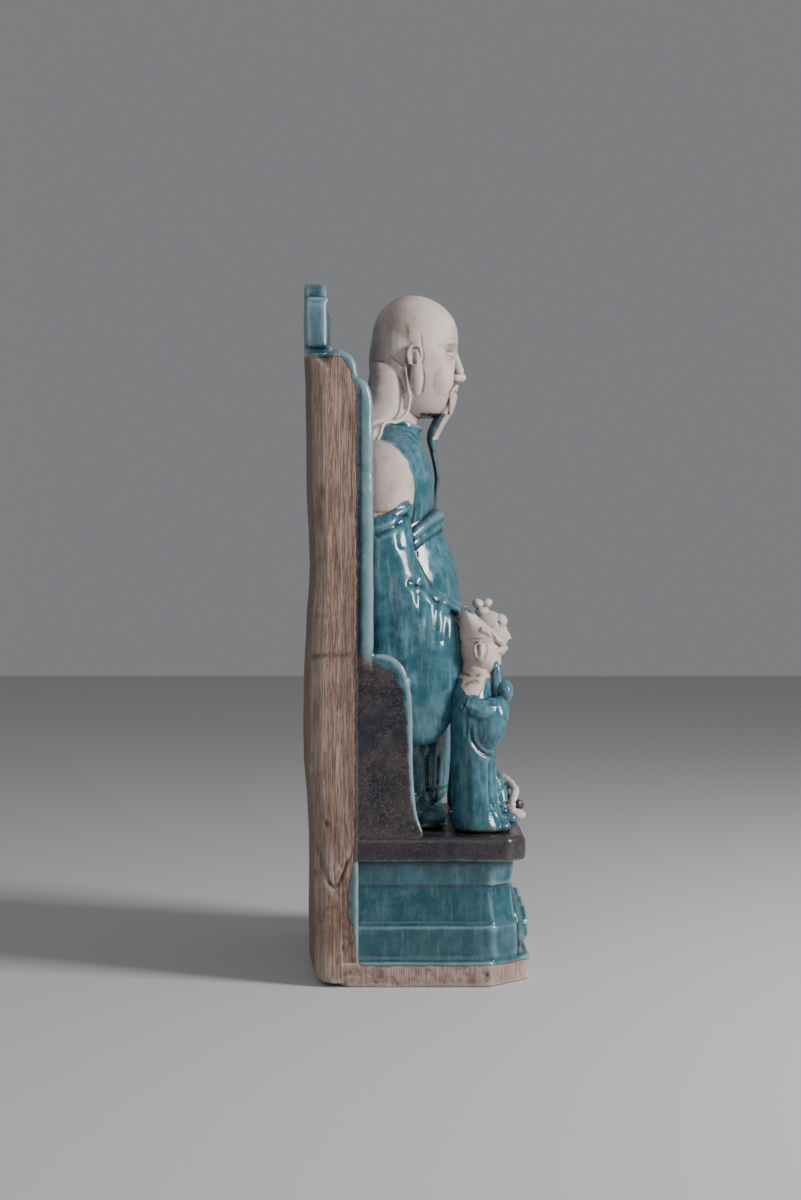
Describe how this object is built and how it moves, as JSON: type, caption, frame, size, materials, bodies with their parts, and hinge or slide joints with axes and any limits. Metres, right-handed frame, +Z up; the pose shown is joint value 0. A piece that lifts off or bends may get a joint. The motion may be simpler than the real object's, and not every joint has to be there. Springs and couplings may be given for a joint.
{
  "type": "porcelain seated dignitary figure",
  "caption": "Glazed ceramic group of a bearded dignitary on a high-backed throne, with small attendants, a tortoise and a snake before the feet, on a stepped plinth.",
  "frame": {"origin": "on the ground under the middle of the group's bounding box", "axes": "+Z up; the figure faces -Y; its own right hand is on -X"},
  "size_m": [0.176, 0.128, 0.39],
  "materials": {
    "glazed_body": "mottled turquoise and aubergine glaze over a pinkish bare clay body"
  },
  "bodies": {
    "root": {"seated_dignitary_group": "glazed_body"}
  },
  "joints": []
}
